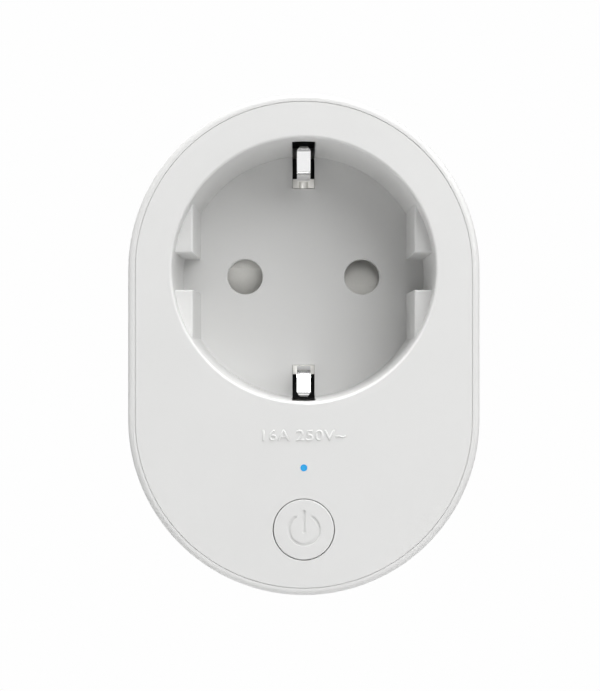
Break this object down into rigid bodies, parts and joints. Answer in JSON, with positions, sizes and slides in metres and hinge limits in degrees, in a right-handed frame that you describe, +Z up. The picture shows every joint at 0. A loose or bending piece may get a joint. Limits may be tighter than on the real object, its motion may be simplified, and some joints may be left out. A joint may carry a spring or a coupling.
{
  "type": "smart plug",
  "caption": "White stadium-shaped smart plug with an earthed round socket in front, a power button and lamp below it, and a round-pin plug behind.",
  "frame": {"origin": "centre of the plug body's end face, midway between the two pins", "axes": "+Y along the pins into the wall, +Z up, so the socket faces -Y and +X is to its right"},
  "size_m": [0.052, 0.064, 0.0741],
  "materials": {
    "white_plastic": "moulded, fine satin",
    "insert_plastic": "moulded, satin",
    "black_plastic": "moulded, satin",
    "blue_light": "clear light pipe lit blue",
    "nickel": "nickel plated brass, polished",
    "spring_steel": "bright rolled strip",
    "contact_bronze": "bare phosphor bronze",
    "busbar_copper": "tinned and bare copper strip",
    "board_green": "solder mask on glass-fibre board",
    "radio_board": "black solder mask",
    "relay_blue": "moulded relay cover",
    "winding_copper": "enamelled copper wire",
    "core_steel": "zinc plated iron",
    "varistor_blue": "epoxy dipped",
    "film_yellow": "moulded box",
    "can_sleeve": "shrink sleeve on aluminium can",
    "choke_wire": "enamelled wire on ferrite drum",
    "chip_black": "moulded epoxy",
    "resistor_green": "cement coated",
    "shield_tin": "tin plated steel",
    "screw_steel": "zinc plated",
    "switch_steel": "stainless cover",
    "lamp_white": "clear epoxy",
    "sheet_paper": "pressed insulating film"
  },
  "bodies": {
    "casing": {"outer_casing": "white_plastic", "front_panel": "white_plastic", "plug_body": "insert_plastic", "light_pipe": "blue_light", "live_pin": "nickel", "neutral_pin": "nickel", "upper_earth_strip": "nickel", "lower_earth_strip": "nickel", "earth_receptacle": "nickel", "earth_bridge": "nickel", "live_contact": "contact_bronze", "neutral_contact": "contact_bronze", "shutter_spring": "spring_steel", "contact_carrier": "black_plastic", "power_board": "board_green", "relay_case": "relay_blue", "relay_base": "chip_black", "relay_coil": "winding_copper", "relay_yoke": "core_steel", "varistor": "varistor_blue", "film_capacitor": "film_yellow", "electrolytic_capacitors": "can_sleeve", "choke": "choke_wire", "bridge_rectifier": "chip_black", "fuse_resistor": "resistor_green", "board_chips": "chip_black", "control_board": "board_green", "wifi_board": "radio_board", "wifi_shield": "shield_tin", "board_header": "contact_bronze", "switch_body": "switch_steel", "status_lamp": "lamp_white", "live_busbar": "busbar_copper", "neutral_busbar": "busbar_copper", "switched_live_strap": "busbar_copper", "casing_screws": "screw_steel", "carrier_screws": "screw_steel", "insulating_sheet": "sheet_paper"},
    "button": {"power_button": "white_plastic"},
    "plunger": {"switch_plunger": "black_plastic"},
    "shutter_rotor": {"shutter": "insert_plastic"},
    "upper_spring": {"upper_earth_spring": "spring_steel"},
    "lower_spring": {"lower_earth_spring": "spring_steel"},
    "armature": {"relay_armature": "core_steel"}
  },
  "joints": [
    {"name": "button_press", "type": "slide", "parent": "casing", "child": "button", "axis": [0, 1, 0], "range_m": [0, 0.0003], "stiffness_N_per_m": 3000},
    {"name": "plunger_press", "type": "slide", "parent": "casing", "child": "plunger", "axis": [0, 1, 0], "range_m": [0, 0.0003]},
    {"name": "shutter_turn", "type": "hinge", "parent": "casing", "child": "shutter_rotor", "pos_m": [0, -0.0242, 0], "axis": [0, 1, 0], "range_deg": [0, 40], "stiffness_Nm_per_rad": 0.01, "springref_deg": -11.46, "deforming": ["shutter_spring"]},
    {"name": "upper_spring_flex", "type": "hinge", "parent": "casing", "child": "upper_spring", "pos_m": [0, -0.0275, 0.0163], "axis": [-1, 0, 0], "range_deg": [0, 9.8], "stiffness_Nm_per_rad": 0.3},
    {"name": "lower_spring_flex", "type": "hinge", "parent": "casing", "child": "lower_spring", "pos_m": [0, -0.0275, -0.0163], "axis": [1, 0, 0], "range_deg": [0, 9.8], "stiffness_Nm_per_rad": 0.3},
    {"name": "relay_armature_rock", "type": "hinge", "parent": "casing", "child": "armature", "pos_m": [-0.0039, -0.0371, -0.0283], "axis": [0, 0, -1], "range_deg": [0, 2.5], "stiffness_Nm_per_rad": 0.02}
  ],
  "couplings": [
    {"joint": "plunger_press", "follows": "button_press", "ratio": 1}
  ]
}
